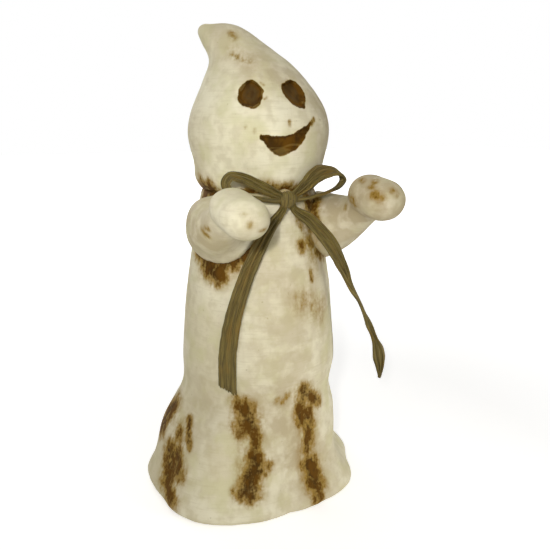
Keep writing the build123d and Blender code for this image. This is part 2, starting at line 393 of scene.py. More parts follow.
def faceMap(points, piece):
    # place across the face, depth below its round, way out of it, and which points are on it
    rows = np.array(piece["outside"])
    middleX, middleY, outer = (
        np.interp(points[:, 2], rows[:, 0], rows[:, column]) for column in (1, 2, 3))
    flat = np.zeros(len(points))
    outward = np.stack([points[:, 0] - middleX, points[:, 1] - middleY, flat], 1)
    radius = np.maximum(np.linalg.norm(outward, axis=1), 0.001)
    across = piece["girth"] * np.arctan2(outward[:, 0], -outward[:, 1])
    depth = outer - radius
    halfWidth, lowest, highest, deepest = piece["faceReach"]
    front = (np.abs(across) < halfWidth) & (depth < deepest)
    front &= (points[:, 2] > lowest) & (points[:, 2] < highest)
    return across, depth, outward / radius[:, None], front


def insideOutline(places, outline):
    # distance to a closed outline with its corners cut, positive inside it
    corners = np.array(outline)
    keep, give = 0.8, 0.2
    for _ in range(2):
        after = np.roll(corners, -1, axis=0)
        pair = [keep * corners + give * after, give * corners + keep * after]
        corners = np.stack(pair, 1).reshape(-1, 2)
    gap = np.full(len(places), 1e9)
    inside = np.zeros(len(places), bool)
    for first, second in zip(corners, np.roll(corners, -1, axis=0)):
        run = second - first
        share = np.clip((places - first) @ run / (run @ run), 0, 1)
        gap = np.minimum(gap, np.linalg.norm(places - first - share[:, None] * run, axis=1))
        crosses = (first[1] > places[:, 1]) != (second[1] > places[:, 1])
        rise = run[1] if run[1] else 1e-9
        inside ^= crosses & (places[:, 0] < first[0] + (places[:, 1] - first[1]) * run[0] / rise)
    return np.where(inside, gap, -gap)


def fillFace(mesh, piece):
    # brings the plain recesses up to the round of the face, to be carved by hand after
    points = meshPoints(mesh)
    _, depth, outward, front = faceMap(points, piece)
    lift = np.where(front, depth * ease(depth, 0.3, 0.8), 0)
    movePoints(mesh, points + outward * lift[:, None])


def refineFace(obj, piece):
    # finer faces round the eyes and the mouth
    mesh = obj.data
    points = meshPoints(mesh)
    across, depth, _, front = faceMap(points, piece)
    front &= depth < piece["skin"]
    places = np.stack([across, points[:, 2]], 1)
    near = np.zeros(len(points), bool)
    for part in piece["carvings"]:
        near |= front & (insideOutline(places, piece[part]) > -3)
    for polygon in mesh.polygons:
        polygon.select = all(near[corner] for corner in polygon.vertices)
    only(obj)
    bpy.ops.object.mode_set(mode="EDIT")
    bpy.ops.mesh.select_mode(type="FACE")
    bpy.ops.mesh.subdivide(number_cuts=1, smoothness=0)
    bpy.ops.object.mode_set(mode="OBJECT")


def carveFace(points, piece):
    # eyes and mouth pressed in; gives the wash in them and the paler floor of the eyes, laid on
    # more along its low ring as a painted highlight
    across, depth, outward, front = faceMap(points, piece)
    front &= depth < piece["skin"]
    places = np.stack([across, points[:, 2]], 1)
    wash, eyeFloorAndHighlight, carved, cut = (np.zeros(len(points)) for _ in range(4))
    ringIn, ringWidth = piece["eyeRing"]
    rimIn, rimWidth = piece["eyeRim"]
    upperLip, lowerLip, lipSlope = piece["lips"]
    for part in piece["carvings"]:
        inside = insideOutline(places, piece[part])
        for index in np.nonzero(front & (inside > -2.5))[0]:
            spot = Vector((across[index], points[index, 2], 0.0))
            edge = inside[index] + piece["carveWander"] * noise.noise(spot / 2.1)
            edge += 0.2 * noise.noise(spot / 0.8)  # nicks
            floor = float(ease(edge, 0, piece["carveWall"]))
            carved[index] = max(carved[index], float(ease(edge, -0.8, 0.2)))
            if part == "mouth":
                # slanting streaks, rubbed paler towards the lower lip
                slanted = (spot.x / 9 + spot.y / 14, spot.y / 1.5 - spot.x / 16, 4.0)
                streak = noise.noise(Vector(slanted))
                slope = spot.x * lipSlope
                low = float(ease(spot.y, upperLip + slope, lowerLip + slope))
                stain = max(0.76, 1.25 - 0.75 * max(0.0, low * 0.6 + 0.9 * streak))
                stain *= float(ease(edge, -0.45, 0.35))
                pressed = floor * (piece["carveDepth"] + 0.25 * streak)
            else:
                # a low ring on the floor of the eye, painted paler as a highlight, and a rim with
                # less wash
                ring = math.exp(-((edge - ringIn) / ringWidth) ** 2)
                rim = math.exp(-((edge - rimIn) / rimWidth) ** 2)
                rim *= 0.5 + noise.noise(spot / 5.0)
                stain = max(0.72, 1.25 - 0.8 * max(0.0, rim)) * float(ease(edge, -0.6, 0.2))
                pressed = floor * piece["carveDepth"] + 0.35 * float(ease(edge, 2, 5)) - 0.2 * ring
                # painted highlight: the paler floor colour is laid on more thickly along the ring
                pale = float(ease(edge, 1.2, 2.6)) * (0.5 + 0.4 * ring)
                eyeFloorAndHighlight[index] = max(eyeFloorAndHighlight[index], pale)
            cut[index] = max(cut[index], pressed)
            wash[index] = max(wash[index], stain)
    points -= outward * cut[:, None]
    return wash, eyeFloorAndHighlight, carved


def smoothTip(obj, piece):
    # rounds the end of the curl into the rest
    middle, reach, fade, rounds = piece["tip"]
    gap = np.linalg.norm(meshPoints(obj.data) - np.array(middle), axis=1)
    group = obj.vertex_groups.new(name="tip")
    for index in np.nonzero(gap < reach)[0]:
        group.add([int(index)], float(ease(reach - gap[index], 0, fade)), "REPLACE")
    smooth = obj.modifiers.new("tipSmooth", "SMOOTH")
    smooth.vertex_group = "tip"
    smooth.factor = 0.5
    smooth.iterations = rounds
    applyModifiers(obj)
    obj.vertex_groups.clear()


def stretchHand(points, piece):
    # draws the hand out along a line, then pushes the clay softly here and there
    middle, reach, way, share = piece["stretch"]
    away = points - np.array(middle)
    way = np.array(way) / np.linalg.norm(way)
    weight = np.exp(-(np.linalg.norm(away, axis=1) / reach) ** 4)
    points += way * (share * (away @ way) * weight)[:, None]
    for middle, reach, move in piece["pushes"]:
        weight = np.exp(-(np.linalg.norm(points - np.array(middle), axis=1) / reach) ** 2)
        points += weight[:, None] * np.array(move, float)


def swayFoot(points, piece):
    # the hand-cut foot reaches out and draws back, less so higher up
    turns, reach = np.array(piece["foot"]).T
    angle = np.degrees(np.arctan2(points[:, 1], points[:, 0]))
    low = ease(points[:, 2], *piece["footFade"])
    out = np.interp(angle, turns, reach) * low
    radius = np.maximum(np.hypot(points[:, 0], points[:, 1]), 1.0)
    points[:, :2] += points[:, :2] / radius[:, None] * out[:, None]


def ceramicPiece(piece):
    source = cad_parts[piece["node"]]
    obj = bpy.data.objects.new(piece["name"], source.data.copy())
    scene.collection.objects.link(obj)
    only(obj)
    bpy.ops.object.mode_set(mode="EDIT")
    bpy.ops.mesh.select_all(action="SELECT")
    bpy.ops.mesh.remove_doubles(threshold=0.00001)
    bpy.ops.object.mode_set(mode="OBJECT")
    if "outside" in piece:
        fillFace(obj.data, piece)
    remesh = obj.modifiers.new("remesh", "REMESH")
    remesh.mode = "VOXEL"
    remesh.voxel_size = piece["voxel"] * mm
    smooth = obj.modifiers.new("smooth", "SMOOTH")
    smooth.factor = 0.5
    smooth.iterations = piece["smoothing"]
    applyModifiers(obj)
    if "outside" in piece:
        smoothTip(obj, piece)
        refineFace(obj, piece)
    mesh = obj.data
    points = meshPoints(mesh)
    flat = np.empty(points.size)
    mesh.vertex_normals.foreach_get("vector", flat)
    normals = flat.reshape(-1, 3)
    wash = strokeWash(points, piece["strokes"], bisque["spread"])
    wash = np.maximum(wash, creaseWash(points, piece))
    # grime, and painted shade on the sides turned from the light
    grimeAndShade = strokeWash(points, piece["grimeAndShadeStrokes"], 1.0)
    eyeFloorAndHighlight, carved = np.zeros(len(points)), np.zeros(len(points))
    size = piece["grain"]
    uneven = np.empty(len(points))
    for index in range(len(points)):
        place = Vector(points[index])
        uneven[index] = noise.noise(place / size) + 0.35 * noise.noise(place / (size / 4))
    if "outside" in piece:
        faceWash, eyeFloorAndHighlight, carved = carveFace(points, piece)
        wash = np.maximum(wash, faceWash)
    if "stretch" in piece:
        stretchHand(points, piece)
    if "foot" in piece:
        swayFoot(points, piece)
    points += normals * (uneven * piece["unevenness"])[:, None]
    points[:, 2] = np.maximum(points[:, 2], 0.0)
    movePoints(mesh, points)
    # the inner wall of the body looks towards the middle
    inward = -(normals[:, 0] * points[:, 0] + normals[:, 1] * points[:, 1])
    hollow = (inward > 6) & ("foot" in piece)
    for mark, values in zip(clayMarks, (wash, grimeAndShade, eyeFloorAndHighlight, carved, hollow)):
        layer = mesh.attributes.new(mark, "FLOAT", "POINT")
        layer.data.foreach_set("value", values.astype(np.float32))
    mesh.materials.clear()
    mesh.materials.append(bisqueMaterial)
    mesh.polygons.foreach_set("use_smooth", [True] * len(mesh.polygons))
    mesh.update()
    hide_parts(piece["node"])
    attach(obj, "figure")
    print(piece["name"], len(mesh.polygons), "faces")


bodyPiece = {
    "name": "figureBody",
    "node": "body_shell",
    "voxel": 1.3,  # cell of the new mesh
    "smoothing": 3,  # rounds
    "unevenness": 0.35,  # height of the hand's marks
    "grain": 26.0,  # size of the unevenness
    "creaseWith": ("head_shell", "right_arm", "left_arm"),
    "creaseReach": 3.2,
    "creaseWash": 0.62,
    # wash strokes: start, end, radius, strength
    "strokes": [
        ((-31, -1, 174), (-30, -9, 174), 4.0, 1.0),
        ((-33, -3, 170), (-32, -8, 171), 4.0, 0.6),
        ((16, -29, 171), (17, -30, 164), 2.6, 0.95),
        ((17, -30, 164), (21, -30, 158), 2.4, 0.8),
        ((9, -34, 163), (10, -34, 157), 2.0, 0.6),
        ((9, -36, 148), (10, -37, 145), 2.2, 0.75),
        ((15, -34, 150), (18, -34, 147), 2.4, 0.75),
        ((21, -33, 142), (25, -31, 139), 2.2, 0.65),
        ((15, -37, 133), (15, -38, 128), 1.4, 0.5),
        ((8, -41, 118), (21, -37, 110), 7.0, 0.3),
        ((-38, -4, 141), (-36, -14, 138), 3.4, 0.9),
        ((-37, -12, 137), (-36, -15, 133), 3.4, 0.95),
        ((-36, -14, 137), (-33, -21, 133), 4.4, 1.1),
        ((-34, -19, 132), (-33, -21, 128), 2.4, 0.85),
        ((-32, -22, 137), (-28, -27, 141), 3.6, 1.0),
        ((-28, -27, 141), (-21, -31, 145), 4.0, 1.1),
        ((-22, -30, 147), (-20, -31, 151), 2.6, 0.7),
        ((-52, 6, 48), (-58, 8, 35), 5.0, 0.95),
        ((-49, -14, 48), (-52, -23, 36), 1.8, 0.9),
        ((-54, -11, 39), (-55, -13, 36), 3.6, 0.6),
        ((-59, -10, 27), (-62, -14, 14), 5.4, 0.85),
        ((-57, -16, 28), (-58, -21, 21), 4.2, 0.85),
        ((-63, -14, 13), (-63, -25, 7), 4.0, 0.8),
        ((-29, -35, 64), (-25, -38, 63), 3.0, 0.65),
        ((-25, -38, 59), (-23, -41, 51), 4.4, 0.9),
        ((-29, -37, 52), (-28, -39, 48), 3.6, 0.55),
        ((-21, -43, 46), (-22, -46, 39), 2.6, 0.8),
        ((-23, -47, 34), (-22, -48, 28), 3.8, 1.0),
        ((-25, -47, 26), (-28, -48, 18), 4.0, 1.0),
        ((-25, -49, 18), (-26, -50, 15), 3.4, 0.9),
        ((-32, -46, 17), (-31, -47, 15), 2.6, 0.75),
        ((-20, -49, 32), (-17, -50, 30), 2.6, 0.7),
        ((8, -44, 67), (8, -44, 61), 3.6, 0.9),
        ((8, -44, 66), (19, -41, 57), 3.2, 0.9),
        ((6, -45, 57), (6, -45, 50), 3.0, 0.9),
        ((11, -43, 53), (11, -45, 42), 3.4, 0.85),
        ((10, -45, 43), (9, -47, 32), 3.0, 0.8),
        ((11, -47, 22), (12, -49, 16), 4.4, 1.0),
        ((12, -49, 16), (12, -52, 12), 4.6, 0.95),
        ((12, -53, 11), (12, -57, 5), 3.0, 0.8),
        ((-2, -45, 67), (-3, -45, 65), 1.4, 0.75),
        ((-5, -45, 64), (-5, -45, 62), 1.2, 0.7),
        ((-8, -45, 65), (-9, -45, 63), 1.2, 0.75),
        ((54, 2, 46), (57, 4, 14), 4.5, 0.8),
        ((47, 24, 48), (51, 28, 12), 4.5, 0.8),
        ((15, 47, 46), (16, 52, 10), 4.5, 0.85),
        ((-26, 44, 44), (-30, 47, 14), 4.5, 0.8),
        ((36, 8, 138), (33, 20, 131), 4.0, 0.7),
        ((14, -34, 160), (20, -33, 140), 6.0, 0.36),
        ((-32, -22, 134), (-20, -31, 146), 6.0, 0.36),
        ((-24, -42, 58), (-26, -48, 16), 6.0, 0.36),
        ((9, -44, 62), (11, -49, 14), 6.0, 0.36),
        ((-55, -12, 40), (-60, -14, 12), 6.0, 0.36),
    ],
    # grime rubbed on, and painted shade on the sides turned from the light: start, end, radius,
    # strength
    "grimeAndShadeStrokes": [
        ((0, -42, 128), (0, -44, 90), 30.0, 0.5),
        ((-8, -47, 62), (8, -50, 20), 26.0, 0.72),
        ((-45, -20, 60), (-60, -15, 10), 24.0, 0.4),
        ((30, 30, 150), (40, 35, 10), 40.0, 0.4),
        ((-30, 35, 150), (-45, 40, 10), 40.0, 0.4),
    ],
    # the foot reaches out and draws back: degrees round from +X, millimetres
    "foot": [
        (-180, -2.0), (-161, 2.0), (-144, 4.2), (-127, 4.4), (-107, -1.4), (-96, -3.8),
        (-78, 0.4), (-61, -0.4), (-50, 0.0), (-20, -5.5), (10, -4.0), (45, -1.0), (90, 0.0),
        (150, 0.0), (180, -2.0),
    ],
    "footFade": (42.0, 2.0),  # heights where that starts and is full
}

headPiece = {
    "name": "figureHead",
    "node": "head_shell",
    "voxel": 0.8,
    "smoothing": 3,
    "unevenness": 0.3,
    "grain": 24.0,
    "creaseWith": ("body_shell",),
    "creaseReach": 3.0,
    "creaseWash": 0.62,
    "strokes": [
        ((-31, 0, 178), (-30, -8, 177), 3.6, 1.0),
        ((-32, -1, 180), (-32, -2, 178), 3.2, 0.7),
        # wash in the neck crease behind the knot; to the right of the knot it is also painted
        # shadow under the bow's loop
        ((-11, -30, 179), (2, -32, 178), 2.6, 1.0),
        ((-18, -26, 177), (-11, -30, 178), 2.2, 0.8),
        ((3, -32, 178), (8, -31, 178), 2.0, 0.7),
        ((-16, -4, 255), (-16, -6, 253), 1.7, 0.46),
        ((-19, -11, 245), (-18, -13, 244), 1.8, 0.6),
        ((-15, -16, 242), (-13, -18, 241), 1.8, 0.44),
        ((-18, -10, 246), (-12, -18, 240), 5.0, 0.2),
        ((-11, -28, 230), (-10, -29, 229), 0.7, 0.55),
        ((-10, -33, 223), (-11, -33, 222), 0.7, 0.55),
        ((-21, -32, 208), (-21, -32, 208), 0.7, 0.55),
        ((-17, -34, 207), (-17, -34, 206), 0.7, 0.55),
        ((0, -38, 211), (0, -38, 209), 0.7, 0.62),
        ((13.5, -36, 210), (16, -35, 212), 0.9, 0.8),
    ],
    # grime, and painted shade on the forehead, the curl and the sides: start, end, radius,
    # strength
    "grimeAndShadeStrokes": [
        ((-8, -22, 238), (2, -26, 232), 14.0, 0.62),
        ((-22, 0, 256), (-4, -4, 250), 14.0, 0.42),
        ((31, -18, 224), (37, -8, 190), 22.0, 0.95),
        ((-38, 8, 215), (-37, 4, 190), 11.0, 0.34),
        ((0, 36, 215), (0, 37, 190), 30.0, 0.35),
    ],
    # end of the curl, smoothed more: middle, reach, fade, rounds
    "tip": ((-27.0, 13.2, 259.0), 15.0, 6.0, 45),
    # round of the face: height, the middle it is measured from, radius
    "outside": [
        (182, 0.42, 0.18, 35.26), (186, 0.65, 0.03, 35.71), (190, 0.78, -0.05, 36.29),
        (194, 0.78, -0.05, 37.2), (198, 0.73, -0.02, 38.11), (202, 0.7, 0.0, 38.79),
        (206, 0.72, -0.01, 38.95), (210, 0.75, -0.02, 38.57), (214, 0.74, -0.02, 37.64),
        (218, 0.63, 0.03, 36.19), (222, 0.39, 0.13, 34.26), (226, -0.03, 0.3, 31.98),
        (230, -0.65, 0.53, 29.53), (234, -1.46, 0.84, 26.96),
    ],
    "girth": 37.0,  # radius that turns an angle round the face into millimetres across it
    "faceReach": (36.0, 188.0, 234.0, 4.4),  # half width, lowest, highest, deepest
    "skin": 2.0,  # only points this near the round of the face are carved
    "carvings": ("rightEye", "leftEye", "mouth"),
    # carved outlines: across the face, height
    "rightEye": [
        (-26.9, 223.2), (-26.4, 226.1), (-24.9, 228.3), (-22.0, 230.2), (-19.3, 231.0),
        (-16.9, 230.5), (-14.7, 229.0), (-13.1, 227.0), (-12.6, 225.6), (-13.2, 223.6),
        (-14.4, 221.2), (-15.7, 218.8), (-17.7, 217.6), (-19.7, 217.4), (-22.3, 218.1),
        (-24.9, 219.3), (-26.4, 221.3),
    ],
    "leftEye": [
        (-0.2, 228.2), (1.6, 229.5), (5.7, 230.8), (9.8, 231.4), (12.7, 230.8),
        (14.6, 229.1), (15.5, 226.6), (14.7, 224.1), (12.9, 221.6), (11.2, 219.6),
        (10.6, 217.8), (7.4, 217.8), (4.5, 218.7), (2.1, 220.4), (0.3, 222.3),
        (-0.6, 224.2), (-1.0, 226.2),
    ],
    "mouth": [
        (-15.4, 204.8), (-13.5, 204.3), (-11.6, 204.5), (-9.7, 204.0), (-6.8, 203.9),
        (-3.8, 204.0), (-0.6, 204.5), (2.0, 205.4), (4.9, 206.9), (7.4, 208.3),
        (10.1, 209.5), (11.7, 210.7), (13.6, 212.1), (12.2, 210.0), (10.9, 207.3),
        (9.0, 204.9), (7.9, 202.4), (6.0, 199.5), (3.3, 197.3), (0.1, 195.6),
        (-3.1, 194.2), (-5.7, 194.0), (-8.4, 195.2), (-10.5, 197.2), (-12.0, 199.2),
        (-13.7, 201.4), (-15.3, 202.8),
    ],
    "carveDepth": 2.6,
    "carveWall": 1.3,
    "carveWander": 0.45,  # how far a carved edge strays
    "eyeRing": (4.0, 0.7),  # low ring in the eye: how far in from the edge, width
    "eyeRim": (0.5, 0.6),  # rim with less wash: the same
    "lips": (205.0, 197.0, 0.12),  # upper and lower height in the mouth, slope
}

rightArmPiece = {
    "name": "figureRightArm",
    "node": "right_arm",
    "voxel": 0.9,
    "smoothing": 6,
    "unevenness": 0.35,
    "grain": 20.0,
    "creaseWith": ("body_shell",),
    "creaseReach": 3.0,
    "creaseWash": 0.6,
    "strokes": [
        ((-48, -42, 160), (-47, -45, 158), 1.6, 0.5),
        ((-48, -46, 162), (-47, -49, 162), 1.2, 0.42),
        ((-42, -76, 174), (-42, -76, 174), 1.2, 0.3),
        ((-40, -77, 170), (-40, -77, 169), 1.5, 0.28),
        ((-35.5, -76, 166.5), (-32.7, -75, 167), 0.8, 0.4),
    ],
    # grime, and painted shade over the ball of the arm: start, end, radius, strength
    "grimeAndShadeStrokes": [
        ((-46, -12, 158), (-47, -40, 156), 20.0, 0.72),
        ((-38, -74, 166), (-38, -74, 180), 18.0, 0.2),
    ],
    # the hand grows along a line: middle, reach, way, share
    "stretch": ((-37.0, -68.0, 171.0), 24.0, (0.84, -0.4, -0.36), 0.16),
    # soft pushes: middle, reach, move
    "pushes": [
        ((-38, -72, 172), 20.0, (0.4, -0.2, -1.6)),
        ((-45, -64, 184), 12.0, (-0.6, 0, -2.2)),
        ((-44, -14, 168), 11.0, (-1, 0, 2.4)),
        ((-42, -24, 139), 13.0, (0, 0, 4.2)),
        ((-30, -32, 147), 10.0, (-2, 2, 1)),
    ],
}

leftArmPiece = {
    "name": "figureLeftArm",
    "node": "left_arm",
    "voxel": 0.9,
    "smoothing": 6,
    "unevenness": 0.35,
    "grain": 20.0,
    "creaseWith": ("body_shell",),
    "creaseReach": 3.0,
    "creaseWash": 0.6,
    "strokes": [
        ((21, -27, 170), (19, -31, 164), 2.6, 0.85),
        ((19, -32, 163), (20, -35, 158), 2.0, 0.7),
        ((34, -66, 183), (32.5, -68, 182), 1.5, 0.44),
        ((30, -68, 180), (30, -69, 180), 1.4, 0.48),
        ((29.5, -72, 177), (31, -74.6, 175.5), 1.9, 0.58),
        ((36.6, -75.7, 178.7), (37.8, -76.5, 177.3), 1.5, 0.4),
        ((31.4, -59, 182.7), (31, -61.4, 182), 1.2, 0.4),
        ((30.5, -46, 173), (28.5, -47, 167), 1.1, 0.72),
        ((28, -54, 175), (27.6, -57, 173), 2.2, 0.42),
        ((27.5, -59, 173), (28, -60, 170.6), 2.0, 0.4),
    ],
    # grime, and painted shade along the arm: start, end, radius, strength
    "grimeAndShadeStrokes": [((26, -20, 160), (32, -70, 175), 30.0, 0.8)],
    "stretch": ((35.0, -66.0, 174.0), 24.0, (0.88, -0.41, -0.1), 0.08),
    "pushes": [((33, -62, 174), 20.0, (-0.8, 0.4, 0.0))],
}

for piece in (bodyPiece, headPiece, rightArmPiece, leftArmPiece):
    ceramicPiece(piece)

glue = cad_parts[glueDab["node"]]
glue.data.materials.clear()
glue.data.materials.append(glueMaterial)
print("ceramic pieces made")


# Raffia bow: pleated strips that follow their CAD routes

def smoothRows(values, shares, count):
    # smooth curve through the stations, read at even shares
    values = np.array(values, float).reshape(len(shares), -1)
    slopes = np.gradient(values, shares, axis=0)
    rows = []
    for share in np.linspace(0, 1, count):
        at = min(max(np.searchsorted(shares, share) - 1, 0), len(shares) - 2)
        span = shares[at + 1] - shares[at]
        t = (share - shares[at]) / span
        rows.append((2 * t ** 3 - 3 * t ** 2 + 1) * values[at]
                    + (t ** 3 - 2 * t ** 2 + t) * span * slopes[at]
                    + (3 * t ** 2 - 2 * t ** 3) * values[at + 1]
                    + (t ** 3 - t ** 2) * span * slopes[at + 1])
    return np.array(rows)


def stripMesh(name, rows, uv):
    # quads over a grid of points, rows along the strip
    length, columns = rows.shape[:2]
    faces = []
    for i in range(length - 1):
        for at in range(i * columns, i * columns + columns - 1):
            faces.append((at, at + 1, at + columns + 1, at + columns))
    mesh = bpy.data.meshes.new(name)
    mesh.from_pydata((rows.reshape(-1, 3) * mm).tolist(), [], faces)
    layer = mesh.uv_layers.new(name="strip")
    flatUv = uv.reshape(-1, 2)
    for loop in mesh.loops:
        layer.data[loop.index].uv = flatUv[loop.vertex_index]
    obj = bpy.data.objects.new(name, mesh)
    scene.collection.objects.link(obj)
    mesh.materials.append(raffiaMaterial)
    solid = obj.modifiers.new("thickness", "SOLIDIFY")
    solid.thickness = raffia["thickness"] * mm
    solid.offset = 0
    applyModifiers(obj)
    bpy.ops.object.shade_smooth()
    return obj


def raffiaStrip(piece):
    places = np.array([station[0] for station in piece["stations"]], float)
    runs = np.linalg.norm(np.diff(places, axis=0), axis=1)
    shares = np.concatenate(([0], np.cumsum(runs))) / runs.sum()
    count = int(runs.sum() / raffia["step"])
    path = smoothRows(places, shares, count)
    looks = smoothRows([station[1] for station in piece["stations"]], shares, count)
    seen = smoothRows([station[2] for station in piece["stations"]], shares, count)[:, 0]
    along = np.gradient(path, axis=0)
    along /= np.linalg.norm(along, axis=1)[:, None]
    across = np.cross(looks, along)
    across /= np.linalg.norm(across, axis=1)[:, None]
    outward = np.cross(along, across)
    travel = np.concatenate(([0], np.cumsum(np.linalg.norm(np.diff(path, axis=0), axis=1))))
    length = travel[-1]
    sides = np.linspace(-1, 1, raffia["columns"])
    segment = raffia["width"] / (2 * raffia["pleats"])
    rows = np.empty((count, len(sides), 3))
    uv = np.empty((count, len(sides), 2))
    for i in range(count):
        width = min(seen[i], raffia["fullest"] * raffia["width"])
        if "tip" in piece:  # narrows to a blunt point
            width *= min(1.0, max(0.12, (length - travel[i]) / piece["tip"])) ** 0.7
        depth = 0.5 * segment * math.sqrt(max(0.0, 1 - (width / raffia["width"]) ** 2))
        wander = noise.noise(Vector((travel[i] / raffia["wanderSize"], piece["seed"], 0)))
        for j, side in enumerate(sides):
            turn = (side * raffia["pleats"] / 2 + 0.35 * wander) % 1.0
            pleat = abs(turn * 4 - 2) - 1
            spot = Vector((side * 1.6, travel[i] / raffia["crumpleSize"], piece["seed"]))
            crumple = noise.noise(spot)
            rim = Vector((travel[i] / raffia["edgeSize"], piece["seed"] + side, 3))
            edge = 1 + raffia["edge"] * noise.noise(rim)
            lift = depth * math.tanh(2 * pleat) + raffia["crumple"] * crumple
            rows[i, j] = path[i] + across[i] * side * edge * width / 2 + outward[i] * lift
            uv[i, j] = ((side + piece["seed"]) * raffia["width"] / 2, travel[i])
    if piece["ragged"]:
        # each column ends at its own place, and the rest of it is drawn together there
        for j, side in enumerate(sides):
            slant = (1 + side * piece["slant"]) / 2
            torn = abs(noise.noise(Vector((side * 7, piece["seed"], 9))))
            cut = piece["ragged"] * (0.7 * slant + 0.5 * torn)
            last = count - 1 - int(cut / raffia["step"])
            rows[last:, j] = rows[last, j]
            near = rows[max(0, last - 5), j]
            for i in range(last, count):
                rows[i, j] = rows[last, j] + (rows[last, j] - near) * 0.002 * (i - last)
    obj = stripMesh(piece["name"], rows, uv)
    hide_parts(piece["node"])
    if piece["body"] == "figure":
        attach(obj, "figure")
    else:
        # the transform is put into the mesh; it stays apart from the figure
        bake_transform(obj)
    print(piece["name"], round(length), "mm long")


def raffiaKnot(piece):
    # one turn of the strip wrapped over the crossing, gathered into folds
    around, columns = 72, 40
    rows = np.empty((around + 1, columns, 3))
    uv = np.empty((around + 1, columns, 2))
    middle = np.array(piece["middle"])
    for i in range(around + 1):
        angle = 2 * math.pi * i / around
        for j in range(columns):
            side = -1 + 2 * j / (columns - 1)
            swell = math.sqrt(1 - 0.7 * side ** 2)
            ring = Vector((math.cos(angle) * 1.2, math.sin(angle) * 1.2, side))
            wander = 0.5 * noise.noise(ring)
            phase = math.pi * piece["folds"] * side + 2 * wander + 0.6 * math.sin(angle)
            fold = piece["foldDepth"] * math.sin(phase)
            reach = swell * (1 + 0.05 * math.sin(3 * angle + side))
            x = side * piece["halfWidth"] * (1 + 0.06 * math.cos(2 * angle))
            y = -math.cos(angle) * (piece["halfDepth"] * reach + fold)
            z = math.sin(angle) * (piece["halfLength"] * reach + fold)
            rows[i, j] = middle + np.array((x, y, z))
            uv[i, j] = (side * raffia["width"] / 2 + 60, angle * piece["halfLength"])
    obj = stripMesh(piece["name"], rows, uv)
    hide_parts(piece["node"])
    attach(obj, "figure")


# each strip runs through its stations: place, the way its broad side looks, seen width
rightLoopPiece = {
    "name": "raffiaRightLoop",
    "node": "right_loop",
    "body": "figure",
    "seed": 3.0,
    "ragged": 0.0,
    "stations": [
        ((-2.6, -38.4, 173.4), (0.0, -1.0, 0.1), 3.6),
        ((-5.0, -38.8, 174.4), (0.0, -1.0, 0.15), 4.6),
        ((-9.6, -38.8, 176.6), (0.0, -1.0, 0.25), 5.6),
        ((-17.6, -37.8, 180.8), (-0.1, -0.9, 0.4), 6.2),
        ((-25.6, -36.4, 184.4), (-0.2, -0.75, 0.6), 6.4),
        ((-31.6, -35.6, 185.0), (-0.6, -0.5, 0.7), 6.6),
        ((-33.8, -35.2, 181.8), (-1.0, -0.35, 0.1), 7.0),
        ((-32.2, -35.2, 178.0), (-0.7, -0.3, -0.7), 7.2),
        ((-26.4, -36.2, 175.4), (-0.1, -0.3, -1.0), 7.4),
        ((-16.0, -37.6, 173.2), (0.0, -0.3, -1.0), 6.4),
        ((-7.0, -38.3, 171.9), (0.0, -0.5, -0.9), 4.4),
        ((-2.6, -38.2, 171.9), (0.0, -0.8, -0.6), 3.4),
    ],
}

leftLoopPiece = {
    "name": "raffiaLeftLoop",
    "node": "left_loop",
    "body": "figure",
    "seed": 7.0,
    "ragged": 0.0,
    "stations": [
        ((2.0, -38.4, 173.8), (0.0, -1.0, 0.1), 3.6),
        ((4.6, -38.9, 175.6), (0.0, -1.0, 0.1), 4.8),
        ((9.6, -38.9, 179.2), (0.0, -1.0, 0.15), 7.0),
        ((17.4, -37.6, 184.6), (0.1, -0.95, 0.35), 8.6),
        ((26.0, -36.0, 186.2), (0.3, -0.6, 0.8), 8.4),
        ((32.6, -35.2, 184.2), (0.8, -0.25, 0.6), 7.4),
        ((35.0, -34.8, 180.6), (1.0, -0.1, 0.0), 6.4),
        ((32.6, -35.0, 177.6), (0.6, -0.15, -0.8), 6.4),
        ((26.2, -36.2, 175.2), (0.1, -0.25, -1.0), 6.6),
        ((16.0, -37.6, 173.2), (0.0, -0.25, -1.0), 5.6),
        ((7.0, -38.3, 171.9), (0.0, -0.4, -0.9), 4.2),
        ((2.6, -38.2, 171.9), (0.0, -0.8, -0.6), 3.4),
    ],
}

rightTailPiece = {
    "name": "raffiaRightTail",
    "node": "right_tail",
    "body": "right_tail",
    "seed": 11.0,
    "ragged": 8.0,
    "slant": -1.0,  # which side of the end is cut shorter
    "stations": [
        ((-2.0, -38.2, 171.4), (0.0, -1.0, 0.0), 3.2),
        ((-2.6, -38.2, 168.6), (-0.1, -1.0, 0.0), 3.8),
        ((-9.6, -37.4, 158.6), (-0.3, -1.0, 0.1), 6.2),
        ((-19.0, -36.8, 142.4), (-0.5, -1.0, 0.1), 7.6),
        ((-25.8, -35.6, 125.6), (-0.6, -0.9, 0.0), 8.2),
        ((-30.2, -34.2, 108.8), (-0.5, -0.9, 0.0), 9.0),
        ((-32.6, -33.0, 91.2), (-0.5, -0.9, 0.0), 9.6),
        ((-33.2, -33.6, 67.4), (-0.6, -0.9, 0.1), 9.8),
    ],
}

